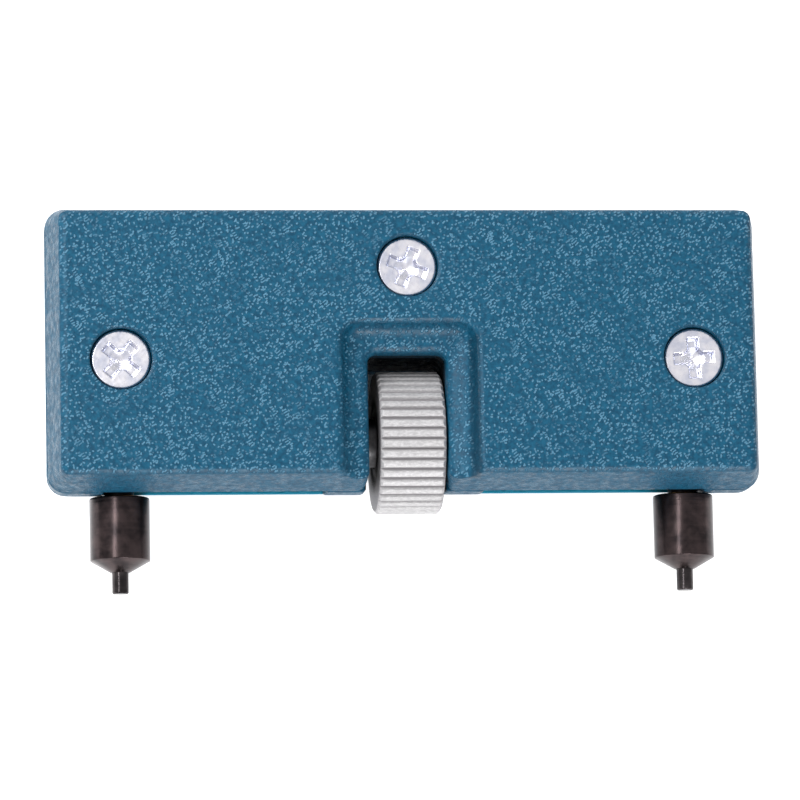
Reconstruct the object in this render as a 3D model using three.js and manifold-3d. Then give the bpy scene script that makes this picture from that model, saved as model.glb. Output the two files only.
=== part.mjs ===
// Two-pin case back opener: a hand tool for screwed watch case backs.
// A thumbwheel turns a lead screw with a left-hand and a right-hand thread, and the two
// pin holders on its nuts run towards or away from each other along a slot in the case.
//
// Millimetres. X is the long side of the case, +Y points from the pins to the top edge,
// and Z runs from the flat back (0) to the front face. The origin is under the middle of
// the whole tool. Inside the group "tool", Y = 0 is the middle of the case.

import * as THREE from 'three';
import { mergeVertices } from 'three/addons/utils/BufferGeometryUtils.js';
import Module from 'manifold-3d';

const wasm = await Module();
wasm.setup();

// ---------------------------------------------------------------- driving dimensions

const CASE_LENGTH = 58;
const CASE_WIDTH = 23.2;
const CASE_DEPTH = 15;
const CORNER_RADIUS = 1.6;
const SMALLEST_CORNER = 0.3; // where a ring is inset further than the corner radius
const WALL = 1.9;
const PLATE = 1.5;
const SEAM_Z = 10.5;
const SEAM_GAP = 0.2;
const PIN_REACH = 19.5; // from the middle of the case to the ends of the pins

// Height and inset of each ring of the case's outside, from the back to the front.
const REAR_RINGS = [[0, 2.1], [0.3, 1.65], [1.1, 1.35], [8.3, 0], [SEAM_Z - SEAM_GAP / 2, 0]];
const FRONT_RINGS = [[SEAM_Z + SEAM_GAP / 2, 0], [14.5, 0.82], [14.85, 0.98], [CASE_DEPTH, 1.35]];

const AXLE_Y = -7.25;
const AXLE_Z = 7.5;
const JOURNAL_RADIUS = 1.1;
const THREAD_RADIUS = 1.5;
const SEAT_RADIUS = 2.0;
const SEAT_HALF = 4.7;
const THREAD_END = 25.55;
const AXLE_END = 26.9;

const WHEEL_RADIUS = 5.8;
const WHEEL_ROOT_RADIUS = 5.45;
const WHEEL_HALF = 2.65;
const WHEEL_CHAMFER = 0.2;
const WHEEL_TEETH = 42;
const WHEEL_X = 0.4; // the wheel is pressed on a little to the right of the middle

const WINDOW_HALF = 3.2;
const WINDOW_TOP = -0.7;
const RECESS_HALF = 5.65;
const RECESS_TOP = 1.75;
const RECESS_DEPTH = 1.6;
const RECESS_RUN = 0.8;
const RECESS_RADIUS = 1.6;
const WEB = 1.2;

const SLOT_INNER = 6.4;
const SLOT_OUTER = 24.45;
const SLOT_HALF = 1.3;

const JAW_X = 23.05; // at rest, with the jaws fully open
const NUT_HALF_LENGTH = 2.5;
const NUT_TOP = -4.5;
const NUT_BOTTOM = -9.55;
const NUT_HALF_DEPTH = 3.1;
const STEM_RADIUS = 1.2;
const STEM_END = -14.9;

const HOLDER_RADIUS = 2.44;
const HOLDER_TOP = -11.7;
const HOLDER_SHOULDER = -16.8;
const HOLDER_NOSE = -17.75;
const SOCKET_CLEARANCE = 0.15;
const TIP_RADIUS = 0.68;
const TIP_ROOT = -16.0;

const SCREW_SIDE_X = 23.2;
const SCREW_SIDE_Y = -1.35;
const SCREW_TOP_Y = 6.15;
const SCREW_HEAD_RADIUS = 2.42;
const SCREW_SHANK_RADIUS = 1.25;
const SCREW_HEAD_Z = 14.2;
const SCREW_TIP_Z = 4.2;
const SCREW_RIM = 0.2;
const CROSS_SPAN = 3.2;
const CROSS_WIDTH = 0.75;
const CROSS_DEPTH = 1.0;
const HOLE_RADIUS = 2.6;
const BOSS_RADIUS = 2.65;

const BUSH_INNER = 25.75;
const BUSH_OUTER = 27.0;
const BUSH_RADIUS = 2.3;
const BUSH_CLEARANCE = 0.1;

const ROUND = 32; // sides of a round piece

// ---------------------------------------------------------------- materials

function material(color, metalness, roughness) {
  return new THREE.MeshStandardMaterial({ color, metalness, roughness });
}

const tealPlastic = material('#1f6a8c', 0, 0.45);
const zincSteel = material('#c3c6cf', 1, 0.3);
const wheelSteel = material('#bdbcbe', 1, 0.4);
const axleSteel = material('#9a9a9c', 1, 0.35);
const brass = material('#b8954a', 1, 0.35);
const blackSteel = material('#332c2c', 1, 0.38);
const tipSteel = material('#242223', 1, 0.35);

// ---------------------------------------------------------------- solids

// A closed geometry as a solid that can be cut and joined.
function solid(geometry) {
  const bare = geometry.index ? geometry.toNonIndexed() : geometry.clone();
  bare.deleteAttribute('normal');
  bare.deleteAttribute('uv');
  const merged = mergeVertices(bare, 1e-5);
  return new wasm.Manifold(new wasm.Mesh({
    numProp: 3,
    vertProperties: new Float32Array(merged.attributes.position.array),
    triVerts: new Uint32Array(merged.index.array),
  }));
}

function geometryOf(manifold) {
  const { vertProperties, triVerts } = manifold.getMesh();
  const geometry = new THREE.BufferGeometry();
  geometry.setAttribute('position', new THREE.BufferAttribute(vertProperties, 3));
  geometry.setIndex(new THREE.BufferAttribute(triVerts, 1));
  const flat = geometry.toNonIndexed();
  flat.computeVertexNormals();
  return flat;
}

function box([x0, x1], [y0, y1], [z0, z1]) {
  const geometry = new THREE.BoxGeometry(x1 - x0, y1 - y0, z1 - z0);
  return solid(geometry.translate((x0 + x1) / 2, (y0 + y1) / 2, (z0 + z1) / 2));
}

// A turned piece from [radius, height] points, with its axis along Y.
function turned(profile, sides = ROUND) {
  return new THREE.LatheGeometry(profile.map(([r, h]) => new THREE.Vector2(r, h)), sides);
}

function alongX(geometry) {
  return geometry.rotateZ(-Math.PI / 2);
}

function alongZ(geometry) {
  return geometry.rotateX(Math.PI / 2);
}

// A plain rod or bore between two stations on an axis through the given point.
function rodX(radius, x0, x1, y = AXLE_Y, z = AXLE_Z) {
  return solid(alongX(turned([[0, x0], [radius, x0], [radius, x1], [0, x1]])).translate(0, y, z));
}

function rodY(radius, y0, y1, x, z = AXLE_Z) {
  return solid(turned([[0, y0], [radius, y0], [radius, y1], [0, y1]]).translate(x, 0, z));
}

function rodZ(radius, z0, z1, x, y) {
  return solid(alongZ(turned([[0, z0], [radius, z0], [radius, z1], [0, z1]])).translate(x, y, 0));
}

function roundedRectangle(halfX, halfY, radius) {
  const shape = new THREE.Shape();
  shape.absarc(halfX - radius, halfY - radius, radius, 0, Math.PI / 2);
  shape.absarc(radius - halfX, halfY - radius, radius, Math.PI / 2, Math.PI);
  shape.absarc(radius - halfX, radius - halfY, radius, Math.PI, Math.PI * 1.5);
  shape.absarc(halfX - radius, radius - halfY, radius, Math.PI * 1.5, Math.PI * 2);
  shape.closePath();
  return shape;
}

// A rounded block whose walls step inwards: each ring is [height, inset].
function ringedBlock(halfX, halfY, radius, rings) {
  const steps = rings.length - 1;
  const shape = roundedRectangle(halfX, halfY, radius);
  const geometry = new THREE.ExtrudeGeometry(shape, { depth: steps, steps, bevelEnabled: false, curveSegments: 6 });
  const position = geometry.attributes.position;
  for (let i = 0; i < position.count; i += 1) {
    const x = position.getX(i);
    const y = position.getY(i);
    const [height, inset] = rings[Math.round(position.getZ(i))];
    const centreX = THREE.MathUtils.clamp(x, radius - halfX, halfX - radius);
    const centreY = THREE.MathUtils.clamp(y, radius - halfY, halfY - radius);
    const corner = Math.max(radius - inset, SMALLEST_CORNER);
    const shiftX = (halfX - inset - corner) / (halfX - radius);
    const shiftY = (halfY - inset - corner) / (halfY - radius);
    const ringX = centreX * shiftX + (x - centreX) * (corner / radius);
    const ringY = centreY * shiftY + (y - centreY) * (corner / radius);
    position.setXYZ(i, ringX, ringY, height);
  }
  return solid(geometry);
}

function union(...pieces) {
  return pieces.reduce((whole, piece) => whole.add(piece));
}

function difference(first, ...cuts) {
  return cuts.reduce((rest, cut) => rest.subtract(cut), first);
}

const screwPlaces = [
  { name: 'case_screw_left', x: -SCREW_SIDE_X, y: SCREW_SIDE_Y, turn: 49 },
  { name: 'case_screw_top', x: 0, y: SCREW_TOP_Y, turn: 69 },
  { name: 'case_screw_right', x: SCREW_SIDE_X, y: SCREW_SIDE_Y, turn: 3 },
];
const sides = [{ name: 'left', sign: -1 }, { name: 'right', sign: 1 }];

// The lower and higher of two stations mirrored to one side of the middle.
function span(sign, a, b) {
  return sign > 0 ? [a, b] : [-b, -a];
}

// ---------------------------------------------------------------- case shells

// The U-shaped finger recess round the wheel, open at the lower edge of the case.
// It is sunk from the face at faceZ towards floorZ.
function fingerRecess(faceZ, floorZ) {
  const halfY = (RECESS_TOP + CASE_WIDTH) / 2;
  const slope = (faceZ - floorZ) * 0.1;
  const outward = RECESS_RUN * 0.1;
  const rings = [[floorZ, RECESS_RUN], [faceZ, 0], [faceZ + slope, -outward]];
  const ordered = faceZ > floorZ ? rings : rings.reverse();
  return ringedBlock(RECESS_HALF, halfY, RECESS_RADIUS, ordered).translate([0, RECESS_TOP - halfY, 0]);
}

function wheelWindow() {
  const height = WINDOW_TOP + CASE_WIDTH;
  const block = ringedBlock(WINDOW_HALF, height / 2, 0.7, [[-1, 0], [CASE_DEPTH + 1, 0]]);
  return block.translate([0, WINDOW_TOP - height / 2, 0]);
}

// The walls round the wheel and under the recess, between two heights.
function wheelWell(z0, z1, backingZ0, backingZ1) {
  const lower = -CASE_WIDTH / 2 + 1;
  const outer = WINDOW_HALF + WEB;
  const walls = box([-outer, outer], [lower, WINDOW_TOP + WEB], [z0, z1]);
  const half = RECESS_HALF + WEB;
  const backing = box([-half, half], [lower, RECESS_TOP + WEB], [backingZ0, backingZ1]);
  return walls.add(backing);
}

function interior(z0, z1) {
  return ringedBlock(CASE_LENGTH / 2 - WALL, CASE_WIDTH / 2 - WALL, 1, [[z0, 0], [z1, 0]]);
}

function saddles(z0, z1) {
  const blocks = sides.map(({ sign }) => (
    box(span(sign, BUSH_INNER - 0.1, CASE_LENGTH / 2 - WALL + 0.3), [1 - CASE_WIDTH / 2, NUT_TOP], [z0, z1])
  ));
  return union(...blocks);
}

// Room for the axle in the webs and for the bushes in the saddles, open towards the seam.
function bearingCuts() {
  const open = SEAM_Z + 1;
  const cuts = sides.flatMap(({ sign }) => {
    const webX = span(sign, WINDOW_HALF - 0.5, WINDOW_HALF + WEB + 0.5);
    const bushX = span(sign, BUSH_INNER - 0.5, BUSH_OUTER + BUSH_CLEARANCE);
    const axleRadius = SEAT_RADIUS + BUSH_CLEARANCE;
    const bushRadius = BUSH_RADIUS + BUSH_CLEARANCE;
    return [
      rodX(axleRadius, ...webX),
      box(webX, [AXLE_Y - axleRadius, AXLE_Y + axleRadius], [AXLE_Z, open]),
      rodX(bushRadius, ...bushX),
      box(bushX, [AXLE_Y - bushRadius, AXLE_Y + bushRadius], [AXLE_Z, open]),
    ];
  });
  return union(...cuts);
}

// Ribs of the front shell that reach into the saddles and hold the bushes down.
function keepers(top) {
  const foot = AXLE_Z + BUSH_RADIUS + BUSH_CLEARANCE;
  const reach = BUSH_RADIUS - BUSH_CLEARANCE;
  const blocks = sides.map(({ sign }) => (
    box(span(sign, BUSH_INNER + BUSH_CLEARANCE, BUSH_OUTER - BUSH_CLEARANCE),
      [AXLE_Y - reach, AXLE_Y + reach], [foot, top])
  ));
  return union(...blocks);
}

function bosses(z0, z1) {
  return union(...screwPlaces.map(({ x, y }) => rodZ(BOSS_RADIUS, z0, z1, x, y)));
}

function frontShell() {
  const seam = SEAM_Z + SEAM_GAP / 2;
  const ceiling = CASE_DEPTH - PLATE;
  const recessFloor = CASE_DEPTH - RECESS_DEPTH;
  const outside = ringedBlock(CASE_LENGTH / 2, CASE_WIDTH / 2, CORNER_RADIUS, FRONT_RINGS);
  const inside = interior(seam - 1, ceiling);
  const ribs = union(
    wheelWell(seam, ceiling + 0.1, recessFloor - 1.3, ceiling + 0.1),
    saddles(seam, ceiling + 0.1),
    bosses(seam, ceiling + 0.1),
  );
  const shell = outside.subtract(inside.subtract(ribs));
  const holes = screwPlaces.map(({ x, y }) => {
    const clear = SCREW_SHANK_RADIUS + 0.25;
    const coneTop = SCREW_HEAD_Z - SCREW_RIM;
    const coneFoot = coneTop - (HOLE_RADIUS - clear);
    const profile = [[0, 0], [clear, 0], [clear, coneFoot], [HOLE_RADIUS, coneTop]];
    profile.push([HOLE_RADIUS, CASE_DEPTH + 1], [0, CASE_DEPTH + 1]);
    return solid(alongZ(turned(profile)).translate(x, y, 0));
  });
  const cutShell = difference(shell, fingerRecess(CASE_DEPTH, recessFloor), wheelWindow(), ...holes);
  return cutShell.add(keepers(seam + 0.1));
}

function rearShell() {
  const seam = SEAM_Z - SEAM_GAP / 2;
  const outside = ringedBlock(CASE_LENGTH / 2, CASE_WIDTH / 2, CORNER_RADIUS, REAR_RINGS);
  const inside = interior(PLATE, SEAM_Z + 1);
  const ribs = union(
    wheelWell(PLATE - 0.1, seam, PLATE - 0.1, RECESS_DEPTH + 1.3),
    saddles(PLATE - 0.1, seam),
    bosses(PLATE - 0.1, seam),
  );
  const shell = outside.subtract(inside.subtract(ribs));
  const pilots = screwPlaces.map(({ x, y }) => (
    rodZ(SCREW_SHANK_RADIUS + 0.2, SCREW_TIP_Z - 0.6, SEAM_Z + 1, x, y)
  ));
  const slots = sides.map(({ sign }) => (
    box(span(sign, SLOT_INNER, SLOT_OUTER), [-CASE_WIDTH, WALL + 0.1 - CASE_WIDTH / 2],
      [AXLE_Z - SLOT_HALF, SEAM_Z + 1])
  ));
  return difference(shell, fingerRecess(0, RECESS_DEPTH), wheelWindow(), bearingCuts(), ...pilots, ...slots);
}

// ---------------------------------------------------------------- screws

function caseScrew({ x, y, turn }) {
  const coneFoot = SCREW_HEAD_Z - SCREW_RIM - (SCREW_HEAD_RADIUS - SCREW_SHANK_RADIUS);
  const profile = [[0, SCREW_TIP_Z], [0.5, SCREW_TIP_Z], [SCREW_SHANK_RADIUS, SCREW_TIP_Z + 1]];
  profile.push([SCREW_SHANK_RADIUS, coneFoot], [SCREW_HEAD_RADIUS, SCREW_HEAD_Z - SCREW_RIM]);
  profile.push([SCREW_HEAD_RADIUS, SCREW_HEAD_Z], [0, SCREW_HEAD_Z]);
  const body = solid(alongZ(turned(profile)));
  const armZ = [SCREW_HEAD_Z - CROSS_DEPTH, SCREW_HEAD_Z + 1];
  const long = [-CROSS_SPAN / 2, CROSS_SPAN / 2];
  const narrow = [-CROSS_WIDTH / 2, CROSS_WIDTH / 2];
  const cross = box(long, narrow, armZ).add(box(narrow, long, armZ));
  return body.subtract(cross).rotate([0, 0, turn]).translate([x, y, 0]);
}

// ---------------------------------------------------------------- wheel and lead screw

function toothedOutline() {
  const shape = new THREE.Shape();
  const pitch = (2 * Math.PI) / WHEEL_TEETH;
  const corners = [[0.05, WHEEL_ROOT_RADIUS], [0.25, WHEEL_RADIUS], [0.75, WHEEL_RADIUS], [0.95, WHEEL_ROOT_RADIUS]];
  for (let tooth = 0; tooth < WHEEL_TEETH; tooth += 1) {
    for (const [part, radius] of corners) {
      const angle = (tooth + part) * pitch;
      const point = [radius * Math.cos(angle), radius * Math.sin(angle)];
      if (tooth === 0 && part === corners[0][0]) shape.moveTo(...point);
      else shape.lineTo(...point);
    }
  }
  shape.closePath();
  return shape;
}

function thumbwheel() {
  const width = 2 * WHEEL_HALF;
  const blank = new THREE.ExtrudeGeometry(toothedOutline(), { depth: width, bevelEnabled: false });
  blank.translate(0, 0, -WHEEL_HALF).rotateY(Math.PI / 2);
  const rim = WHEEL_HALF - WHEEL_CHAMFER;
  const edge = WHEEL_RADIUS - WHEEL_CHAMFER;
  const profile = [[0, -WHEEL_HALF], [edge, -WHEEL_HALF], [WHEEL_RADIUS, -rim], [WHEEL_RADIUS, rim]];
  profile.push([edge, WHEEL_HALF], [0, WHEEL_HALF]);
  const chamfer = solid(alongX(turned(profile, 2 * ROUND).scale(1.001, 1, 1.001)));
  const bore = rodX(SEAT_RADIUS + 0.05, -WHEEL_HALF - 1, WHEEL_HALF + 1, 0, 0);
  return solid(blank).intersect(chamfer).subtract(bore).translate([WHEEL_X, AXLE_Y, AXLE_Z]);
}

function leadScrew() {
  const half = [[JOURNAL_RADIUS, AXLE_END], [JOURNAL_RADIUS, THREAD_END], [THREAD_RADIUS, THREAD_END]];
  half.push([THREAD_RADIUS, SEAT_HALF + 0.3], [SEAT_RADIUS, SEAT_HALF]);
  const mirrored = half.map(([r, x]) => [r, -x]);
  const profile = [[0, -AXLE_END], ...mirrored, ...half.reverse(), [0, AXLE_END]];
  return solid(alongX(turned(profile)).translate(0, AXLE_Y, AXLE_Z));
}

function endBush(sign) {
  const [x0, x1] = span(sign, BUSH_INNER, BUSH_OUTER);
  return rodX(BUSH_RADIUS, x0, x1).subtract(rodX(JOURNAL_RADIUS + 0.1, x0 - 1, x1 + 1));
}

// ---------------------------------------------------------------- jaws

// The nut runs on the lead screw. Its stem passes through the slot into the pin holder.
function jawNut(sign) {
  const x = sign * JAW_X;
  const block = ringedBlock(NUT_HALF_LENGTH, (NUT_TOP - NUT_BOTTOM) / 2, 0.5,
    [[AXLE_Z - NUT_HALF_DEPTH, 0], [AXLE_Z + NUT_HALF_DEPTH, 0]]).translate([x, (NUT_TOP + NUT_BOTTOM) / 2, 0]);
  const stem = rodY(STEM_RADIUS, STEM_END, NUT_BOTTOM + 0.3, x);
  const thread = rodX(THREAD_RADIUS + 0.1, x - NUT_HALF_LENGTH - 1, x + NUT_HALF_LENGTH + 1);
  return block.add(stem).subtract(thread);
}

function pinHolder(sign) {
  const x = sign * JAW_X;
  const edge = 0.12;
  const nose = TIP_RADIUS + SOCKET_CLEARANCE + 0.1;
  const profile = [[0, HOLDER_NOSE], [nose, HOLDER_NOSE], [HOLDER_RADIUS, HOLDER_SHOULDER]];
  profile.push([HOLDER_RADIUS, HOLDER_TOP - edge], [HOLDER_RADIUS - edge, HOLDER_TOP], [0, HOLDER_TOP]);
  const body = solid(turned(profile).translate(x, 0, AXLE_Z));
  const stemSocket = rodY(STEM_RADIUS + SOCKET_CLEARANCE, STEM_END - SOCKET_CLEARANCE, HOLDER_TOP + 1, x);
  const tipSocket = rodY(TIP_RADIUS + SOCKET_CLEARANCE, HOLDER_NOSE - 1, TIP_ROOT + SOCKET_CLEARANCE, x);
  return difference(body, stemSocket, tipSocket);
}

function tipPin(sign) {
  const edge = 0.1;
  const profile = [[0, -PIN_REACH], [TIP_RADIUS - edge, -PIN_REACH], [TIP_RADIUS, edge - PIN_REACH]];
  profile.push([TIP_RADIUS, TIP_ROOT], [0, TIP_ROOT]);
  return solid(turned(profile, 24).translate(sign * JAW_X, 0, AXLE_Z));
}

// ---------------------------------------------------------------- assembly

const tool = new THREE.Group();
tool.position.y = (PIN_REACH - CASE_WIDTH / 2) / 2;

function place(name, manifold, surface) {
  const mesh = new THREE.Mesh(geometryOf(manifold), surface);
  mesh.name = name;
  tool.add(mesh);
}

place('front_shell', frontShell(), tealPlastic);
place('rear_shell', rearShell(), tealPlastic);
for (const screw of screwPlaces) place(screw.name, caseScrew(screw), zincSteel);
place('thumbwheel', thumbwheel(), wheelSteel);
place('lead_screw', leadScrew(), axleSteel);
for (const { name, sign } of sides) {
  place(`${name}_end_bush`, endBush(sign), brass);
  place(`${name}_jaw_nut`, jawNut(sign), brass);
  place(`${name}_pin_holder`, pinHolder(sign), blackSteel);
  place(`${name}_tip_pin`, tipPin(sign), tipSteel);
}

const part = new THREE.Group();
part.add(tool);

export default part;
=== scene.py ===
"""Looks of the two-pin case back opener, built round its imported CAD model.

Everything is in metres in the CAD's frame. The plastic shells, screws and nuts are meshes of
signed distance fields, which are written in millimetres from the middle of the case.
"""

import math

import bpy
import numpy as np
import openvdb
from mathutils import Matrix, Vector


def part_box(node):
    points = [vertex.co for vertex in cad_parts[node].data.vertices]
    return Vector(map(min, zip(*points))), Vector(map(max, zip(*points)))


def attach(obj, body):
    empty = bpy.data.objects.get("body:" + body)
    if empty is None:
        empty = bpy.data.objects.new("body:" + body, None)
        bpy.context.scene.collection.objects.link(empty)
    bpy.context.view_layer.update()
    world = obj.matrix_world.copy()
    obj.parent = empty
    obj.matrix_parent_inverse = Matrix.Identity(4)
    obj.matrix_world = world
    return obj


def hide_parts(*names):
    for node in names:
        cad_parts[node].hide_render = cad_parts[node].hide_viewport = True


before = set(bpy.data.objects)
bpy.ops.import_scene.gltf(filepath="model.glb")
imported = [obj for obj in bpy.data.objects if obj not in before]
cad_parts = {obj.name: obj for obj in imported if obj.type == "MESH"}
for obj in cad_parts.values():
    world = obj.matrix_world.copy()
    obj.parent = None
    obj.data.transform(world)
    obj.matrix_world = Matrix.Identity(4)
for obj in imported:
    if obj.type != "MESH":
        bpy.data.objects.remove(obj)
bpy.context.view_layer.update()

MM = 0.001


def box_mm(node):
    """A CAD node's lowest and highest corners in millimetres."""
    low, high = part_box(node)
    return np.array(low) / MM, np.array(high) / MM


# ---------------------------------------------------------------- sizes, in millimetres

rear_low, rear_high = box_mm("rear_shell")
front_low, front_high = box_mm("front_shell")
MID_Y = (rear_low[1] + rear_high[1]) / 2  # the middle of the case in the row frame
HALF_X = (rear_high[0] - rear_low[0]) / 2
HALF_Y = (rear_high[1] - rear_low[1]) / 2
DEPTH = front_high[2]
SEAM = (rear_high[2] + front_low[2]) / 2
SEAM_GAP = 0.1
CORNER = 1.6
WALL = 1.9
PLATE = 1.5  # the thickness of the face and of the back
FACE_EDGE = 0.55  # the radius of the edge round the face
BACK_EDGE = 1.2
FRONT_DRAFT = 0.205  # inset per millimetre of height
REAR_BAND = 2.2  # the straight band of the rear wall below the seam
REAR_DRAFT = 0.1875

wheel_low, wheel_high = box_mm("thumbwheel")
WHEEL_MID = (wheel_low + wheel_high) / 2
WHEEL_RADIUS = (wheel_high[1] - wheel_low[1]) / 2
WHEEL_HALF = (wheel_high[0] - wheel_low[0]) / 2
WHEEL_TEETH = 42
AXLE_Y = WHEEL_MID[1] - MID_Y
AXLE_Z = WHEEL_MID[2]

WINDOW_HALF = 3.2
WINDOW_TOP = -0.7
WINDOW_CORNER = 0.8
WINDOW_EDGE = 0.8
RECESS_HALF = 5.65
RECESS_TOP = 1.75
RECESS_DEPTH = 1.6
RECESS_RUN = 0.8
RECESS_RADIUS = 1.7
RECESS_FILLET = 0.9  # between the slope and the floor of the recess
RECESS_BACKING = 1.3  # the thickness of its floor
WEB = 1.2  # the thickness of the walls round the wheel
SADDLE_TOP = -4.5

SLOT_INNER = 6.4
SLOT_OUTER = 24.45
SLOT_HALF = 1.3

SCREWS = {"case_screw_left": 49, "case_screw_top": 69, "case_screw_right": 3}
HOLE_RADIUS = 2.52
BOSS_RADIUS = 2.65
SCREW_RADIUS = 1.25
SCREW_LENGTH = 10.0
HEAD_RADIUS = 2.42
PILOT_FLOOR = 3.6

bush_low, bush_high = box_mm("right_end_bush")
BUSH_IN, BUSH_OUT = bush_low[0], bush_high[0]
BUSH_RADIUS = (bush_high[1] - bush_low[1]) / 2

SEAT_RADIUS = 2.0  # the lead screw's plain middle, which carries the wheel
SEAT_HALF = 4.7
THREAD_START = 5.0
THREAD_END = 25.5
THREAD_RADIUS = 1.5
THREAD_DEPTH = 0.3
THREAD_PITCH = 0.5
THREAD_FADE = 0.4  # the run over which the thread dies away
JOURNAL_START = 25.55
JOURNAL_RADIUS = 1.1
JOURNAL_BEVEL = 0.25

NUT_BOTTOM = -9.55  # where the nut's block ends and its stem starts
STEM_RADIUS = 1.2


# ---------------------------------------------------------------- distance fields


def rectangle(x, y, half_x, half_y, radius):
    """Distance to a rounded rectangle round the origin."""
    out_x = np.abs(x) - (half_x - radius)
    out_y = np.abs(y) - (half_y - radius)
    outside = np.hypot(np.maximum(out_x, 0), np.maximum(out_y, 0))
    return outside + np.minimum(np.maximum(out_x, out_y), 0) - radius


def slab(value, low, high):
    """Distance to the space between two parallel planes."""
    return np.maximum(low - value, value - high)


def meet(a, b, radius):
    """What two fields share, with the edge between them rounded."""
    inside = np.minimum(np.maximum(a, b), -radius)
    return inside + np.hypot(np.maximum(a + radius, 0), np.maximum(b + radius, 0))


def cut(a, b, radius):
    """Field a without field b, with the edge rounded."""
    return meet(a, -b, radius)


def join(a, b, radius):
    """Fields a and b together, with the inner corner filled."""
    return -meet(-a, -b, radius)


def bend(value, width):
    """Zero below zero and the value itself above it, with a soft bend of that width between."""
    return np.where(value > width, value, np.clip(value + width, 0, 2 * width) ** 2 / (4 * width))


def field_mesh(name, field, low, high, step, adaptivity=0.0):
    """A closed mesh of the surface where the field is zero, in metres in the row frame."""
    axes = [np.arange(lo - 3 * step, hi + 4 * step, step) for lo, hi in zip(low, high)]
    grid = field(axes[0][:, None, None], axes[1][None, :, None], axes[2][None, None, :])
    grid = np.clip(grid, -4 * step, 4 * step).astype(np.float32)
    volume = openvdb.FloatGrid(4 * step)
    volume.copyFromArray(np.ascontiguousarray(grid))
    points, triangles, quads = volume.convertToPolygons(isovalue=0.0, adaptivity=adaptivity)
    points = points.astype(float) * step + np.array([axis[0] for axis in axes])
    for _ in range(3):
        slope = gradient(field, points, step)
        distance = field(*points.T)
        points -= slope * np.clip(distance, -step / 2, step / 2)[:, None]
    faces = [face[::-1] for face in quads.tolist()] + [face[::-1] for face in triangles.tolist()]
    mesh = bpy.data.meshes.new(name)
    mesh.from_pydata((points + [0, MID_Y, 0]) * MM, [], faces)
    mesh.validate()
    if signed_volume(mesh) < 0:
        mesh.flip_normals()
    mesh.shade_smooth()
    mesh.normals_split_custom_set_from_vertices(gradient(field, points, step / 4))
    return mesh


def gradient(field, points, reach):
    """The field's unit slope at each point."""
    slope = np.empty_like(points)
    for axis in range(3):
        shift = np.zeros(3)
        shift[axis] = reach
        slope[:, axis] = field(*(points + shift).T) - field(*(points - shift).T)
    length = np.linalg.norm(slope, axis=1, keepdims=True)
    return slope / np.maximum(length, 1e-9)


def signed_volume(mesh):
    """The mesh's volume, negative when its faces look inwards."""
    mesh.calc_loop_triangles()
    corners = np.empty(len(mesh.vertices) * 3)
    mesh.vertices.foreach_get("co", corners)
    index = np.empty(len(mesh.loop_triangles) * 3, int)
    mesh.loop_triangles.foreach_get("vertices", index)
    a, b, c = corners.reshape(-1, 3)[index.reshape(-1, 3)].transpose(1, 0, 2)
    return float(np.einsum("ij,ij->", a, np.cross(b, c)) / 6)


# ---------------------------------------------------------------- case shells


def screw_places():
    """Each case screw's place in the face, from the middle of the case."""
    for name in SCREWS:
        low, high = box_mm(name)
        yield (low[0] + high[0]) / 2, (low[1] + high[1]) / 2 - MID_Y


def finger_recess(x, y, depth):
    """The U-shaped recess round the wheel. Depth is measured inwards from the face."""
    half_y = (RECESS_TOP + 2 * HALF_Y) / 2
    slope = RECESS_RUN / RECESS_DEPTH
    side = rectangle(x, y - (RECESS_TOP - half_y), RECESS_HALF, half_y, RECESS_RADIUS)
    side = (side + depth * slope) * math.cos(math.atan(slope))
    return meet(side, depth - RECESS_DEPTH, RECESS_FILLET)


def wheel_window(x, y):
    """Distance to the window's outline, in the plane of the face."""
    half_y = (WINDOW_TOP + 2 * HALF_Y) / 2
    return rectangle(x, y - (WINDOW_TOP - half_y), WINDOW_HALF, half_y, WINDOW_CORNER)


def hollow(x, y, z, floor, ceiling, backing):
    """The space inside the case, left free by the ribs, saddles and screw bosses."""
    space = np.maximum(rectangle(x, y, HALF_X - WALL, HALF_Y - WALL, 1.0), slab(z, floor, ceiling))
    well = rectangle(x, y + HALF_Y, WINDOW_HALF + WEB, WINDOW_TOP + WEB + HALF_Y, 1.0)
    space = cut(space, well, 0.2)
    plinth = rectangle(x, y + HALF_Y, RECESS_HALF + WEB, RECESS_TOP + WEB + HALF_Y, 1.5)
    space = cut(space, np.maximum(plinth, backing), 0.2)
    saddle = np.maximum(BUSH_IN - 0.1 - np.abs(x), y - SADDLE_TOP)
    space = cut(space, saddle, 0.2)
    for screw_x, screw_y in screw_places():
        space = cut(space, np.hypot(x - screw_x, y - screw_y) - BOSS_RADIUS, 0.3)
    return space


def bearing_cuts(x, y, z):
    """Room for the axle in the webs and for the bushes in the saddles, open to the front."""
    radius = np.hypot(y - AXLE_Y, np.minimum(z - AXLE_Z, 0))
    web = slab(np.abs(x), WINDOW_HALF - 0.5, WINDOW_HALF + WEB + 0.5)
    web = np.maximum(radius - (SEAT_RADIUS + 0.1), web)
    saddle = slab(np.abs(x), BUSH_IN - 0.5, BUSH_OUT + 0.1)
    saddle = np.maximum(radius - (BUSH_RADIUS + 0.1), saddle)
    return np.minimum(web, saddle)


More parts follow.
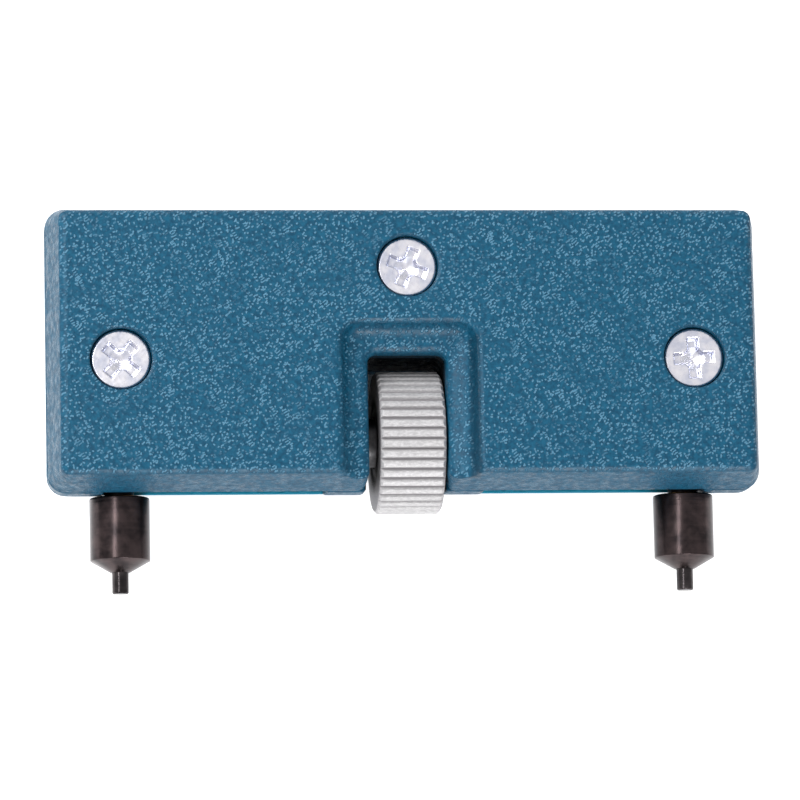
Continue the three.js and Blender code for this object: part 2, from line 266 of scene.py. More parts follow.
def front_field(x, y, z):
    """The front shell, with countersunk screw holes and keepers over the bushes."""
    inset = (z - SEAM) * FRONT_DRAFT
    wall = (rectangle(x, y, HALF_X, HALF_Y, CORNER) + inset) * math.cos(math.atan(FRONT_DRAFT))
    body = meet(wall, z - DEPTH, FACE_EDGE)
    body = meet(body, SEAM + SEAM_GAP / 2 - z, 0.1)
    ceiling = DEPTH - PLATE
    backing = (DEPTH - RECESS_DEPTH - RECESS_BACKING) - z
    body = cut(body, hollow(x, y, z, SEAM - 2, ceiling, backing), 0.1)
    body = cut(body, finger_recess(x, y, DEPTH - z), 0.3)
    body = cut(body, wheel_window(x, y), WINDOW_EDGE)
    for screw_x, screw_y in screw_places():
        radius = np.hypot(x - screw_x, y - screw_y)
        bore = radius - (SCREW_RADIUS + 0.2)
        head_floor = DEPTH - 1.0
        cone = (radius - HOLE_RADIUS - (z - head_floor)) * math.sqrt(0.5)
        seat = meet(cone, radius - HOLE_RADIUS, 0.05)
        body = cut(body, np.minimum(bore, seat), 0.22)
    keeper = slab(np.abs(x), BUSH_IN + 0.1, BUSH_OUT - 0.1)
    keeper = np.maximum(keeper, np.abs(y - AXLE_Y) - (BUSH_RADIUS - 0.1))
    keeper = np.maximum(keeper, slab(z, AXLE_Z + BUSH_RADIUS + 0.1, SEAM + 0.5))
    return np.minimum(body, keeper)


def rear_field(x, y, z):
    """The rear shell, with bearings for the axle, slots for the jaws and pilot holes."""
    outline = rectangle(x, y, HALF_X, HALF_Y, CORNER)
    inset = bend(SEAM - REAR_BAND - z, 0.8) * REAR_DRAFT
    body = meet((outline + inset) * math.cos(math.atan(REAR_DRAFT)), -z, BACK_EDGE)
    body = meet(body, z - (SEAM - SEAM_GAP / 2), 0.1)
    backing = z - (RECESS_DEPTH + RECESS_BACKING)
    body = cut(body, hollow(x, y, z, PLATE, SEAM + 2, backing), 0.1)
    body = cut(body, finger_recess(x, y, z), 0.35)
    body = cut(body, wheel_window(x, y), 0.35)
    body = cut(body, bearing_cuts(x, y, z), 0.05)
    slot = np.maximum(slab(np.abs(x), SLOT_INNER, SLOT_OUTER), y + HALF_Y - WALL - 0.1)
    body = cut(body, np.maximum(slot, AXLE_Z - SLOT_HALF - z), 0.12)
    for screw_x, screw_y in screw_places():
        pilot = np.hypot(x - screw_x, y - screw_y) - (SCREW_RADIUS + 0.15)
        body = cut(body, np.maximum(pilot, PILOT_FLOOR - z), 0.1)
    return body


def add_object(name, mesh, body, slot, material, *replaced):
    """Puts a mesh in the scene on a body, in place of the CAD nodes named last."""
    piece = bpy.data.objects.new(name, mesh)
    bpy.context.scene.collection.objects.link(piece)
    mesh.materials.append(material)
    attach(piece, body)
    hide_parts(*replaced)
    return piece


# ---------------------------------------------------------------- screws


def screw_field(x, y, z):
    """A countersunk screw along Z with the top of its head at zero."""
    radius = np.hypot(x, y)
    rim = 0.2
    head = meet(radius - HEAD_RADIUS, z, 0.22)
    head = meet(head, (radius - HEAD_RADIUS - (z + rim)) * math.sqrt(0.5), 0.1)
    angle = np.arctan2(y, x) / (2 * math.pi)
    pitch = 1.0
    phase = np.mod(z / pitch - angle, 1.0)
    ridge = 1 - np.abs(2 * phase - 1)
    core = 0.98
    crest = (SCREW_RADIUS - core) * np.clip(ridge * 1.6 - 0.4, 0, 1)
    thread = (radius - (core + crest)) * 0.75
    tip_start = SCREW_LENGTH - 0.8
    tip = (radius - SCREW_RADIUS - (z + tip_start) * 0.6) * 0.85
    shank = np.maximum(np.maximum(thread, -SCREW_LENGTH - z), np.maximum(tip, z + 1))
    body = np.minimum(head, shank)
    depth = -z
    across = np.abs(x)
    along = np.abs(y)
    taper = 0.16 * np.clip(depth, 0, 1)
    flare = 0.40 + 0.05 * radius - taper
    reach = 1.66 - 0.25 * depth
    arm_a = meet(across - flare, along - reach, 0.1)
    arm_b = meet(along - flare, across - reach, 0.1)
    centre = (across + along) * math.sqrt(0.5) - (0.84 - taper)
    cross = join(np.minimum(arm_a, arm_b), centre, 0.12)
    floor = depth - 0.62 - 0.5 * np.clip(1.0 - radius, 0, 1)
    return cut(body, meet(cross, floor, 0.08), 0.08)


def add_screws(material):
    """The three case screws, each a copy of one mesh turned to its own angle."""
    shared = None
    for name, turn in SCREWS.items():
        low, high = box_mm(name)
        if shared is None:
            lowest = (-2.5, -2.5, -SCREW_LENGTH - 0.1)
            shared = field_mesh(name, screw_field, lowest, (2.5, 2.5, 0), 0.055, 0.02)
            mesh = shared
        else:
            mesh = shared.copy()
            mesh.name = name
        moved = Matrix.Translation(((low[0] + high[0]) / 2 * MM, (low[1] + high[1]) / 2 * MM, high[2] * MM))
        turned = Matrix.Rotation(math.radians(turn), 4, "Z")
        piece = bpy.data.objects.new("visual_" + name, mesh)
        bpy.context.scene.collection.objects.link(piece)
        piece.matrix_world = moved @ turned @ Matrix.Translation((0, -MID_Y * MM, 0))
        mesh.materials.clear()
        mesh.materials.append(material)
        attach(piece, "case")
        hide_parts(name)


# ---------------------------------------------------------------- turned and knurled pieces


def surface_mesh(name, points, faces, sharp_degrees=35):
    """A mesh in metres in the row frame from points in millimetres, smooth except at its sharp edges."""
    mesh = bpy.data.meshes.new(name)
    mesh.from_pydata(np.asarray(points) * MM, [], faces)
    mesh.validate()
    if signed_volume(mesh) < 0:
        mesh.flip_normals()
    mesh.shade_smooth()
    mesh.set_sharp_from_angle(angle=math.radians(sharp_degrees))
    return mesh


def grid_faces(rings, around, first=0, closed=False):
    """Quads between rings of points; closed joins the last ring to the first."""
    faces = []
    for ring in range(rings if closed else rings - 1):
        a = first + ring * around
        b = first + ((ring + 1) % rings) * around
        for step in range(around):
            after = (step + 1) % around
            faces.append((a + step, a + after, b + after, b + step))
    return faces


def rounded(profile, radius_of, steps=5):
    """A profile of (radius, height) points with its listed corners rounded by small arcs."""
    path = []
    for index, point in enumerate(profile):
        fillet = radius_of.get(index)
        if not fillet:
            path.append(point)
            continue
        here = Vector(point)
        back = (Vector(profile[index - 1]) - here).normalized()
        ahead = (Vector(profile[(index + 1) % len(profile)]) - here).normalized()
        half = back.angle(ahead) / 2
        reach = fillet / math.tan(half)
        centre = here + (back + ahead).normalized() * (fillet / math.sin(half))
        start, end = here + back * reach, here + ahead * reach
        for step in range(steps + 1):
            mixed = start.lerp(end, step / steps) - centre
            path.append(tuple(centre + mixed.normalized() * fillet))
    return path


def lathe(name, profile, axis, centre, segments=96):
    """A turned piece. A profile that starts and ends on the axis is solid, and any other is a ring."""
    solid = profile[0][0] == 0 and profile[-1][0] == 0
    rings = profile[1:-1] if solid else profile
    angles = np.linspace(0, 2 * math.pi, segments, endpoint=False)
    points = []
    for radius, height in rings:
        ring = np.zeros((segments, 3))
        ring[:, axis] = height
        ring[:, (axis + 1) % 3] = radius * np.cos(angles)
        ring[:, (axis + 2) % 3] = radius * np.sin(angles)
        points.extend(ring)
    faces = grid_faces(len(rings), segments, closed=not solid)
    if solid:
        fans = []
        for (_, height), ring in ((profile[0], 0), (profile[-1], len(rings) - 1)):
            tip = np.zeros(3)
            tip[axis] = height
            points.append(tip)
            first = ring * segments
            fans.append([(first + i, first + (i + 1) % segments, len(points) - 1) for i in range(segments)])
        # the fan on the first ring is turned over, so that all faces agree
        faces += [face[::-1] for face in fans[0]] + fans[1]
    return surface_mesh(name, np.array(points) + np.array(centre), faces)


def ring_along_x(along, radius, angles):
    """Points round the X axis at one place along it."""
    return np.stack([np.full(len(angles), along), radius * np.cos(angles), radius * np.sin(angles)], 1)


def thumbwheel_mesh():
    """A straight-knurled rim with bevelled ends, plain faces and a bore."""
    per_tooth = 16
    around = WHEEL_TEETH * per_tooth
    angles = np.linspace(0, 2 * math.pi, around, endpoint=False)
    phase = np.mod(angles * WHEEL_TEETH / (2 * math.pi), 1.0)
    off_crest = np.abs(phase - 0.5) * 2
    land = 0.46
    flank = 0.5
    crown = 0.06
    groove_depth = 0.24
    valley = np.clip((off_crest - land) / flank, 0, 1)
    groove = 0.5 * valley + 0.5 * (3 * valley**2 - 2 * valley**3)
    tooth = WHEEL_RADIUS - crown * off_crest**2 - groove_depth * groove
    bevel = 0.24
    bore = 2.02
    stations = list(np.linspace(WHEEL_HALF - bevel - 0.06, WHEEL_HALF, 12))
    ends = [-s for s in reversed(stations)]
    rim = ends + list(np.linspace(-2.1, 2.1, 9)) + stations
    face_rings = [(5.2, 0.0), (3.2, 0.0), (3.1, 0.06), (2.5, 0.06), (2.4, 0.0)]
    face_rings += [(bore + 0.15, 0.0), (bore, 0.15)]
    rings = []
    for along in rim:
        over = max(0.0, abs(along) - (WHEEL_HALF - bevel))
        rings.append((np.minimum(tooth, WHEEL_RADIUS - over * 1.1), along))
    rings += [(radius, WHEEL_HALF - sunk) for radius, sunk in face_rings]
    rings += [(radius, sunk - WHEEL_HALF) for radius, sunk in reversed(face_rings)]
    points = []
    for radius, along in rings:
        points.append(ring_along_x(along, radius, angles))
    faces = grid_faces(len(rings), around, closed=True)
    return surface_mesh("thumbwheel", np.concatenate(points) + WHEEL_MID, faces, 40)


def lead_screw_mesh():
    """A rod with a left-hand and a right-hand M3 thread, a plain middle and plain journals."""
    low, high = box_mm("lead_screw")
    half = (high[0] - low[0]) / 2
    around = 40
    per_turn = 9
    angles = np.linspace(0, 2 * math.pi, around, endpoint=False)
    stations = np.linspace(-half, half, int(half * 2 / THREAD_PITCH * per_turn))
    points = []
    for along in stations:
        distance = abs(along)
        if distance < SEAT_HALF:
            radius = SEAT_RADIUS
        elif distance > JOURNAL_START:
            radius = JOURNAL_RADIUS - 0.25 * max(0.0, distance - half + JOURNAL_BEVEL)
        else:
            phase = np.mod(distance / THREAD_PITCH - angles / (2 * math.pi), 1.0)
            ridge = np.clip(1.35 * (1 - np.abs(2 * phase - 1)) - 0.15, 0, 1)
            inside = min(distance - THREAD_START, THREAD_END - distance)
            fade = min(1.0, max(0.0, inside / THREAD_FADE))
            radius = THREAD_RADIUS - THREAD_DEPTH * (1 - ridge) * fade
        points.append(ring_along_x(along, radius, angles))
    rings = len(points)
    faces = grid_faces(rings, around)
    faces.append(tuple(range(around))[::-1])
    faces.append(tuple(range((rings - 1) * around, rings * around)))
    middle = np.array([(low[0] + high[0]) / 2, WHEEL_MID[1], WHEEL_MID[2]])
    return surface_mesh("lead_screw", np.concatenate(points) + middle, faces, 50)


def jaw_nut_field(side):
    """The field of one jaw's nut with its stem, and its lowest and highest corners."""
    low, high = box_mm(side + "_jaw_nut")
    mid_x = (low[0] + high[0]) / 2
    half = (high[0] - low[0]) / 2
    top = high[1] - MID_Y
    half_z = (high[2] - low[2]) / 2
    end = low[1] - MID_Y

    def field(x, y, z):
        outline = rectangle(x - mid_x, y - (top + NUT_BOTTOM) / 2, half, (top - NUT_BOTTOM) / 2, 0.5)
        body = meet(outline, np.abs(z - AXLE_Z) - half_z, 0.3)
        stem = np.hypot(x - mid_x, z - AXLE_Z) - STEM_RADIUS
        stem = np.maximum(stem, slab(y, end, NUT_BOTTOM + 0.5))
        body = join(body, stem, 0.15)
        radius = np.hypot(y - AXLE_Y, z - AXLE_Z)
        mouth = (radius - 2.0 + np.maximum(half - np.abs(x - mid_x), 0)) * 0.7
        bore = np.minimum(radius - (THREAD_RADIUS + 0.05), mouth)
        return cut(body, bore, 0.05)

    return field, low - [0, MID_Y, 0], high - [0, MID_Y, 0]


def pin_holder_mesh(side):
    """A turned holder: a plain barrel, a conical nose, and sockets for the stem and the pin."""
    low, high = box_mm(side + "_pin_holder")
    middle = (low + high) / 2
    radius = (high[0] - low[0]) / 2
    top, nose = high[1], low[1]
    shoulder = nose + 0.95
    stem_floor = box_mm(side + "_jaw_nut")[0][1] - 0.05
    pin_root = box_mm(side + "_tip_pin")[1][1] + 0.05
    pin_socket = 0.7
    stem_socket = STEM_RADIUS + 0.05
    profile = [(0, pin_root), (pin_socket, pin_root), (pin_socket, nose), (pin_socket + 0.1, nose)]
    profile += [(radius, shoulder), (radius, top), (stem_socket, top)]
    profile += [(stem_socket, stem_floor), (0, stem_floor)]
    profile = rounded(profile, {3: 0.06, 4: 0.07, 5: 0.14, 6: 0.08})
    return lathe(side + "_pin_holder", profile, 1, (middle[0], 0, middle[2]), 128)


def tip_pin_mesh(side):
    """A thin pin with a bevelled end."""
    low, high = box_mm(side + "_tip_pin")
    middle = (low + high) / 2
    radius = (high[0] - low[0]) / 2
    bevel = 0.1
    profile = [(0, low[1]), (radius - bevel, low[1]), (radius, low[1] + bevel)]
    profile += [(radius, high[1]), (0, high[1])]
    profile = rounded(profile, {1: 0.04, 2: 0.04}, 3)
    return lathe(side + "_tip_pin", profile, 1, (middle[0], 0, middle[2]), 64)


def end_bush_mesh(side):
    """A plain ring with rounded edges."""
    low, high = box_mm(side + "_end_bush")
    radius = (high[1] - low[1]) / 2
    bore = JOURNAL_RADIUS + 0.05
    profile = [(bore, low[0]), (radius, low[0]), (radius, high[0]), (bore, high[0])]
    profile = rounded(profile, {1: 0.15, 2: 0.15, 0: 0.1, 3: 0.1}, 3)
    return lathe(side + "_end_bush", profile, 0, (0, WHEEL_MID[1], WHEEL_MID[2]), 64)


# ---------------------------------------------------------------- materials

PLASTIC_DARK = (0.0015, 0.037, 0.074, 1)
PLASTIC_LIGHT = (0.0045, 0.069, 0.126, 1)
# Painted highlight on the raised strokes of the texture.
PLASTIC_GRAIN_HIGHLIGHT = (0.06, 0.165, 0.25, 1)
# Painted light on the slot ledges.
PLASTIC_LEDGE_PAINTED_LIGHT = (0.003, 0.20, 0.31, 1)
PLASTIC_SHADE = (0.002, 0.018, 0.034, 1)
PLASTIC_WELL = (0.002, 0.004, 0.006, 1)
BRASS_DARK = (0.55, 0.38, 0.16, 1)
BRASS_LIGHT = (0.74, 0.56, 0.28, 1)


class Nodes:
    """A material's node tree, with short calls for the nodes used here."""

    def __init__(self, name):
        self.material = bpy.data.materials.new(name)
        self.material.use_nodes = True
        self.tree = self.material.node_tree
        self.shader = self.tree.nodes["Principled BSDF"]
        self.coordinates = self.tree.nodes.new("ShaderNodeTexCoord")

    def add(self, kind, inputs=None, **settings):
        """A new node with its inputs set or linked, and its settings made."""
        node = self.tree.nodes.new("ShaderNode" + kind)
        for key, value in settings.items():
            setattr(node, key, value)
        for key, value in (inputs or {}).items():
            self.put(value, node.inputs[key])
        return node

    def put(self, value, socket):
        """Links an output to the socket, or sets the socket to a number, vector or colour."""
        if isinstance(value, bpy.types.NodeSocket):
            self.tree.links.new(value, socket)
        else:
            socket.default_value = value

    def math(self, operation, *values):
        node = self.add("Math", operation=operation)
        for value, socket in zip(values, node.inputs):
            self.put(value, socket)
        return node.outputs[0]

    def vector(self, operation, *values):
        node = self.add("VectorMath", operation=operation)
        for value, socket in zip(values, node.inputs):
            self.put(value, socket)
        return node.outputs[0]

    def place(self, scale=(1000, 1000, 1000), shift=(0, 0, 0)):
        """Object coordinates, in millimetres at the default scale."""
        scaled = self.vector("MULTIPLY", self.coordinates.outputs["Object"], scale)
        return self.vector("ADD", scaled, shift)

    def split(self, shift=(0, 0, 0)):
        """X, Y and Z of the object coordinates in millimetres, moved by a shift."""
        return self.add("SeparateXYZ", {"Vector": self.place(shift=shift)}).outputs[:]

    def sum_of_squares(self, a, b):
        return self.math("ADD", self.math("POWER", a, 2.0), self.math("POWER", b, 2.0))

    def product(self, first, *others):
        for other in others:
            first = self.math("MULTIPLY", first, other)
        return first

    def noise(self, vector, scale, detail=3.0, roughness=0.5):
        inputs = {"Vector": vector, "Scale": scale, "Detail": detail, "Roughness": roughness}
        return self.add("TexNoise", inputs).outputs["Fac"]

    def ramp(self, value, low, high, to_low=0.0, to_high=1.0):
        """A smooth step from one value to another as the input goes from low to high."""
        node = self.add("MapRange", interpolation_type="SMOOTHSTEP")
        names = ("Value", "From Min", "From Max", "To Min", "To Max")
        for key, number in zip(names, (value, low, high, to_low, to_high)):
            self.put(number, node.inputs[key])
        return node.outputs[0]

    def mix(self, share, a, b):
        node = self.add("Mix", data_type="RGBA")
        self.put(share, node.inputs[0])
        self.put(a, node.inputs[6])
        self.put(b, node.inputs[7])
        return node.outputs[2]

    def bump(self, height, distance, strength):
        node = self.add("Bump", {"Strength": strength, "Distance": distance, "Height": height})
        return node.outputs["Normal"]

    def set(self, **values):
        """Sets or links the shader's sockets, and gives the material."""
        for key, value in values.items():
            self.put(value, self.shader.inputs[key.replace("_", " ")])
        return self.material


def strokes(nodes, cell, shift, lean, spread, reach, half_width, chance, rows):
    """Short raised strokes, a group of parallel rows in each cell, turned at random round a lean.

    The cell, the shortest and longest half length in reach, and the half width are in millimetres, and
    the angles in radians. The result runs from 0 between the strokes to 1 on their crests.
    """
    spot = nodes.place((1000 / cell, 1000 / cell, 0), (shift, shift * 0.7, 0))
    inputs = {"Vector": spot, "Scale": 1.0, "Randomness": 0.95}
    cells = nodes.add("TexVoronoi", inputs, voronoi_dimensions="2D")
    local = nodes.vector("SUBTRACT", spot, cells.outputs["Position"])
    pick = nodes.add("SeparateColor", {"Color": cells.outputs["Color"]})
    turn = nodes.math("MULTIPLY_ADD", pick.outputs[0], -spread, spread / 2 - lean)
    turned = nodes.add("VectorRotate", {"Vector": local, "Angle": turn}, rotation_type="Z_AXIS")
    parts = nodes.add("SeparateXYZ", {"Vector": turned.outputs[0]})
    along = nodes.math("ABSOLUTE", nodes.math("MULTIPLY", parts.outputs[0], cell))
    across = nodes.math("MULTIPLY", parts.outputs[1], cell)
    gap = half_width * 2.6
    near = nodes.math("ROUND", nodes.math("DIVIDE", across, gap))
    limit = (rows - 1) / 2
    row = nodes.math("MAXIMUM", nodes.math("MINIMUM", near, limit), -limit)
    aside = nodes.math("SUBTRACT", across, nodes.math("MULTIPLY", row, gap))
    length = nodes.math("MULTIPLY_ADD", pick.outputs[1], reach[1] - reach[0], reach[0])
    beyond = nodes.math("MAXIMUM", nodes.math("SUBTRACT", along, length), 0.0)
    distance = nodes.math("SQRT", nodes.sum_of_squares(beyond, aside))
    shape = nodes.ramp(distance, half_width, half_width * 0.3)
    kept = nodes.ramp(pick.outputs[2], 1 - chance - 0.12, 1 - chance + 0.25)
    return nodes.math("MULTIPLY", shape, kept)


# Each layer's arguments for strokes, from the cell to the number of rows.
GRAIN_LAYERS = (
    (0.36, 3.1, 0.7, 2.4, (0.0, 0.05), 0.115, 0.78, 1),
    (0.5, 17.7, 0.6, 0.9, (0.03, 0.13), 0.105, 0.62, 1),
    (1.0, 41.3, 0.6, 0.4, (0.05, 0.16), 0.085, 0.42, 3),
)


def plastic_material():
    """Moulded teal plastic. Flat faces have a spark-eroded texture whose raised strokes are coloured
    lighter as a painted highlight, and the walls are blotchy. The slot ledges get painted light, and the
    recess's right-hand wall and the wheel well painted shade.
    """
    nodes = Nodes("teal_plastic")
    grains = 0.0
    for layer in GRAIN_LAYERS:
        grains = nodes.math("MAXIMUM", strokes(nodes, *layer), grains)
    from_middle = nodes.math("ABSOLUTE", nodes.split((0, -MID_Y, -DEPTH / 2))[2])
    facing = nodes.add("SeparateXYZ", {"Vector": nodes.coordinates.outputs["Normal"]}).outputs[2]
    outer = nodes.ramp(from_middle, DEPTH / 2 - 2.6, DEPTH / 2 - 2.2)
    flat = nodes.ramp(nodes.math("MULTIPLY", nodes.math("ABSOLUTE", facing), outer), 0.3, 0.8, 0.1, 1.0)
    patches = nodes.ramp(nodes.noise(nodes.place(), 0.55, 2.0), 0.3, 0.6, 0.45, 1.0)
    grains = nodes.product(grains, flat, patches)
    cloud = nodes.noise(nodes.place(), 2.4, 3.0, 0.65)
    deep = nodes.mix(nodes.ramp(cloud, 0.3, 0.7), PLASTIC_DARK, PLASTIC_LIGHT)
    # Painted highlight: the raised strokes of the real texture are coloured lighter.
    tone = nodes.mix(nodes.ramp(grains, 0.15, 1.0), deep, PLASTIC_GRAIN_HIGHLIGHT)
    # Painted light: the slot ledges are coloured a lighter teal where they lie in shade.
    ledge_painted_light = nodes.math("MULTIPLY", slot_ledge_painted_light(nodes), 0.9)
    tone = nodes.mix(ledge_painted_light, tone, PLASTIC_LEDGE_PAINTED_LIGHT)
    tone = nodes.mix(recess_side(nodes), tone, PLASTIC_SHADE)
    colour = nodes.mix(wheel_well(nodes), tone, PLASTIC_WELL)
    fine = nodes.noise(nodes.place(), 2.2, 4.0, 0.65)
    wall = nodes.math("SUBTRACT", 1.0, flat)
    ripple = nodes.math("MULTIPLY", fine, nodes.math("MULTIPLY_ADD", wall, 3.4, 0.4))
    height = nodes.math("ADD", grains, ripple)
    gloss = nodes.ramp(nodes.noise(nodes.place(), 1.3, 4.0, 0.7), 0.35, 0.65, -0.12, 0.16)
    uneven = nodes.math("MULTIPLY", gloss, nodes.math("MULTIPLY_ADD", wall, 0.8, 0.4))
    rough = nodes.math("ADD", 0.38, nodes.math("MULTIPLY_ADD", wall, 0.06, uneven))
    return nodes.set(
        Base_Color=colour,
        Roughness=rough,
        Normal=nodes.bump(height, 0.06 * MM, 0.9),
        IOR=1.46,
        Specular_IOR_Level=0.22,
    )


def slot_ledge_painted_light(nodes):
    """The rear lip of the slots, which lies in shade under the front shell and gets a lighter teal as
    painted light: 1 on it and 0 elsewhere.
    """
    x, y, z = nodes.split((0, -MID_Y, 0))
    middle = (SLOT_INNER + SLOT_OUTER) / 2
    half = (SLOT_OUTER - SLOT_INNER) / 2
    reach = nodes.math("ABSOLUTE", nodes.math("SUBTRACT", nodes.math("ABSOLUTE", x), middle))
    beside = nodes.ramp(reach, half + 0.1, half - 0.1)
    lip = AXLE_Z - SLOT_HALF
    level = nodes.ramp(nodes.math("ABSOLUTE", nodes.math("SUBTRACT", z, lip)), 0.4, 0.2)
    edge = nodes.ramp(y, WALL - HALF_Y + 0.2, WALL - HALF_Y)
    return nodes.product(beside, level, edge)


def recess_side(nodes):
    """A tone that stands for shade on the recess's right-hand wall: up to 0.6 on it and 0 elsewhere."""
    x, y, z = nodes.split((0, -MID_Y, 0))
    half = RECESS_RUN / 2
    off_middle = nodes.math("ABSOLUTE", nodes.math("SUBTRACT", x, RECESS_HALF - half + 0.05))
    beside = nodes.ramp(off_middle, half + 0.15, half - 0.15, 0.0, 0.6)
    below = nodes.ramp(y, RECESS_TOP - 0.6, RECESS_TOP - 1.6)
    above = nodes.ramp(z, DEPTH - RECESS_DEPTH - 0.3, DEPTH - RECESS_DEPTH)
    return nodes.product(beside, below, above)


def wheel_well(nodes):
    """A tone that stands for shade round the wheel: 1 deep in the window and 0 outside it."""
    x, y, z = nodes.split((0, -MID_Y, 0))
    beside = nodes.ramp(nodes.math("ABSOLUTE", x), WINDOW_HALF + 0.2, WINDOW_HALF + 0.05)
    below = nodes.ramp(y, WINDOW_TOP + 0.2, WINDOW_TOP + 0.05)
    middle = DEPTH / 2
    off_middle = nodes.math("ABSOLUTE", nodes.math("SUBTRACT", z, middle))
    depth = nodes.ramp(off_middle, middle - 2.9, middle - 3.9)
    return nodes.product(beside, below, depth)


def screw_material():
    """Bright zinc plate with faint stains and small scratches."""
    nodes = Nodes("zinc_plate")
    stains = nodes.noise(nodes.place(), 0.9, 4.0)
    colour = nodes.mix(nodes.ramp(stains, 0.35, 0.65), (0.60, 0.62, 0.72, 1), (0.82, 0.81, 0.85, 1))
    scratch = nodes.noise(nodes.place((300, 2500, 1000)), 1.0, 3.0)
    rough = nodes.math("MULTIPLY_ADD", nodes.noise(nodes.place(), 3.0, 4.0), 0.2, 0.2)
    height = nodes.math("ADD", nodes.noise(nodes.place(), 2.2, 4.0), nodes.math("MULTIPLY", scratch, 0.5))
    bump = nodes.bump(height, 0.03 * MM, 0.5)
    return nodes.set(Base_Color=colour, Metallic=1.0, Roughness=rough, Normal=bump)


def wheel_material():
    """Satin nickel plate with a dull bloom, with painted shade in the valleys of the knurl and painted
    near-black shade on the faces round the axle.
    """
    nodes = Nodes("satin_nickel")
    _, y, z = nodes.split(tuple(-WHEEL_MID))
    radius = nodes.math("SQRT", nodes.sum_of_squares(y, z))
    # Painted shade: the valleys of the knurl are coloured darker than the crests.
    crest = nodes.ramp(radius, WHEEL_RADIUS - 0.28, WHEEL_RADIUS - 0.1)
    speckle = nodes.noise(nodes.place((450, 1000, 1000)), 7.0, 5.0, 0.7)
    worn = nodes.mix(nodes.ramp(speckle, 0.35, 0.7), (0.33, 0.325, 0.33, 1), (0.49, 0.485, 0.49, 1))
    colour = nodes.mix(crest, (0.26, 0.25, 0.26, 1), worn)
    # Painted shade: the end faces round the axle are coloured near black.
    rim = nodes.ramp(radius, WHEEL_RADIUS - 2.6, WHEEL_RADIUS - 1.8)
    colour = nodes.mix(rim, (0.03, 0.03, 0.031, 1), colour)
    rough = nodes.math("MULTIPLY_ADD", speckle, 0.2, 0.44)
    bump = nodes.bump(speckle, 0.05 * MM, 0.8)
    return nodes.set(Base_Color=colour, Metallic=0.4, Roughness=rough, Normal=bump)


def turned_material(name, dark, light, roughness, axis, lines=9.0, blackened=None):
    """Turned metal: fine rings round the axis, blotches of tone and uneven gloss.

    More lines make finer rings. Below the height called blackened, in millimetres along Y, it is black.
    """
    nodes = Nodes(name)
    stretch = [140, 140, 140]
    stretch[axis] = 1000 * lines
    rings = nodes.noise(nodes.place(stretch), 1.0, 3.0, 0.6)
    blotch = nodes.noise(nodes.place(), 0.9, 5.0, 0.6)
    shade = nodes.math("ADD", blotch, nodes.math("MULTIPLY", rings, 0.3))
    colour = nodes.mix(nodes.ramp(shade, 0.4, 0.9), dark, light)
    if blackened is not None:
        height = nodes.split()[1]
        colour = nodes.mix(nodes.ramp(height, blackened, blackened - 0.2), colour, (0.02, 0.017, 0.018, 1))
    rough = nodes.math("MULTIPLY_ADD", blotch, 0.1, roughness)
    bump = nodes.bump(rings, 0.012 * MM, 0.8)
    return nodes.set(Base_Color=colour, Metallic=1.0, Roughness=rough, Normal=bump)


# ---------------------------------------------------------------- assembly


def build():
    """All fifteen pieces, each on its body."""
    plastic = plastic_material()
    case_low = (-HALF_X, -HALF_Y)
    case_high = (HALF_X, HALF_Y)
    step = 0.16
    front = field_mesh("front_shell", front_field, (*case_low, SEAM), (*case_high, DEPTH), step, 0.01)
    add_object("visual_front_shell", front, "case", "case_plastic", plastic, "front_shell")
    rear = field_mesh("rear_shell", rear_field, (*case_low, 0), (*case_high, SEAM), step, 0.01)
    add_object("visual_rear_shell", rear, "case", "case_plastic", plastic, "rear_shell")
    add_screws(screw_material())
    steel = wheel_material()
    add_object("visual_thumbwheel", thumbwheel_mesh(), "wheel", "wheel_steel", steel, "thumbwheel")
    axle = turned_material("axle_steel", (0.05, 0.05, 0.052, 1), (0.11, 0.11, 0.115, 1), 0.4, 0)
    add_object("visual_lead_screw", lead_screw_mesh(), "wheel", "axle_steel", axle, "lead_screw")
    brass = turned_material("brass", BRASS_DARK, BRASS_LIGHT, 0.25, 0, 4.0)
    stem_top = MID_Y - HALF_Y + 1.6
    nut_brass = turned_material("nut_brass", BRASS_DARK, BRASS_LIGHT, 0.25, 0, 4.0, blackened=stem_top)
    black = turned_material("black_steel", (0.020, 0.0165, 0.0175, 1), (0.062, 0.046, 0.046, 1), 0.2, 1)
    tip = turned_material("tip_steel", (0.022, 0.020, 0.021, 1), (0.062, 0.055, 0.056, 1), 0.16, 1)
    for side in ("left", "right"):
        jaw = side + "_jaw"
        bush = end_bush_mesh(side)
        add_object(f"visual_{side}_end_bush", bush, "case", "brass", brass, side + "_end_bush")
        field, low, high = jaw_nut_field(side)
        nut = field_mesh(side + "_jaw_nut", field, low, high, 0.12, 0.01)
        add_object(f"visual_{side}_jaw_nut", nut, jaw, "brass", nut_brass, side + "_jaw_nut")
        holder = pin_holder_mesh(side)
        add_object(f"visual_{side}_pin_holder", holder, jaw, "black_steel", black, side + "_pin_holder")
        add_object(f"visual_{side}_tip_pin", tip_pin_mesh(side), jaw, "tip_steel", tip, side + "_tip_pin")


# ---------------------------------------------------------------- floor, light and camera


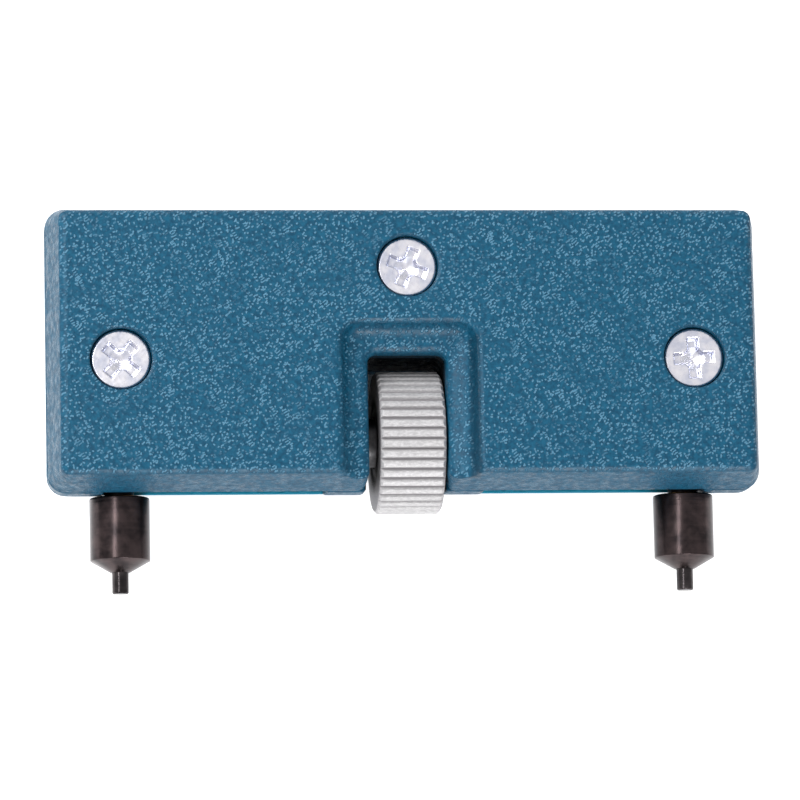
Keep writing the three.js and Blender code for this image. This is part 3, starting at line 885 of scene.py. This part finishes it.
def floor():
    """A matt white floor that glows faintly round the tool and not under it, so that it comes out white."""
    size = 2.0
    mesh = bpy.data.meshes.new("floor")
    corners = [(-size, -size, 0), (size, -size, 0), (size, size, 0), (-size, size, 0)]
    mesh.from_pydata(corners, [], [(0, 1, 2, 3)])
    nodes = Nodes("floor")
    x, y, _ = nodes.split((0, -MID_Y, 0))
    past_x = nodes.math("SUBTRACT", nodes.math("ABSOLUTE", x), HALF_X - 2)
    past_y = nodes.math("SUBTRACT", nodes.math("ABSOLUTE", y), HALF_Y - 3)
    clear = nodes.ramp(nodes.math("MAXIMUM", past_x, past_y), 0.0, 0.8, 0.0, 0.42)
    white = (0.9, 0.9, 0.9, 1)
    glow = (1, 1, 1, 1)
    material = nodes.set(Base_Color=white, Roughness=0.9, Emission_Color=glow, Emission_Strength=clear)
    mesh.materials.append(material)
    plane = bpy.data.objects.new("floor", mesh)
    plane.location.z = -0.05 * MM
    bpy.context.scene.collection.objects.link(plane)


def softbox(name, place, size, power):
    """A rectangular area lamp at a place in metres, turned to the tool."""
    light = bpy.data.lights.new(name, "AREA")
    light.shape = "RECTANGLE"
    light.size, light.size_y = size
    light.energy = power
    lamp = bpy.data.objects.new(name, light)
    lamp.location = place
    lamp.rotation_euler = (Vector((0, 0, 0.01)) - Vector(place)).to_track_quat("-Z", "Y").to_euler()
    bpy.context.scene.collection.objects.link(lamp)


def studio():
    """An even bright dome with a lamp to the upper left, one on the pin side and a strip overhead."""
    world = bpy.data.worlds.new("studio")
    bpy.context.scene.world = world
    world.use_nodes = True
    background = world.node_tree.nodes["Background"]
    background.inputs["Color"].default_value = (1.0, 0.99, 1.0, 1)
    background.inputs["Strength"].default_value = 0.85
    softbox("key", (-0.30, 0.26, 0.30), (0.2, 0.2), 2.4)
    softbox("fill", (0.07, -0.46, 0.26), (0.2, 0.12), 1.9)
    softbox("strip", (-0.20, 0.07, 0.45), (0.3, 0.025), 0.7)
    bpy.context.scene.view_settings.view_transform = "Standard"


def camera():
    """Looks down on the face from the pin side and a little from the left, through a long lens."""
    data = bpy.data.cameras.new("camera")
    data.sensor_width = 36
    data.lens = 258.9
    data.clip_start = 0.01
    eye = Vector((-51.34, MID_Y - 74.11, 468.6)) * MM
    aim = Vector((-0.04, MID_Y - 3.7, 7.5)) * MM
    back = (eye - aim).normalized()
    across = Vector((0, 1, 0)).cross(back).normalized()
    turn = Matrix((across, back.cross(across), back)).transposed().to_4x4()
    view = bpy.data.objects.new("camera", data)
    view.matrix_world = Matrix.Translation(eye) @ turn @ Matrix.Rotation(math.radians(-1.16), 4, "Z")
    bpy.context.scene.collection.objects.link(view)
    bpy.context.scene.camera = view


camera()
build()
floor()
studio()
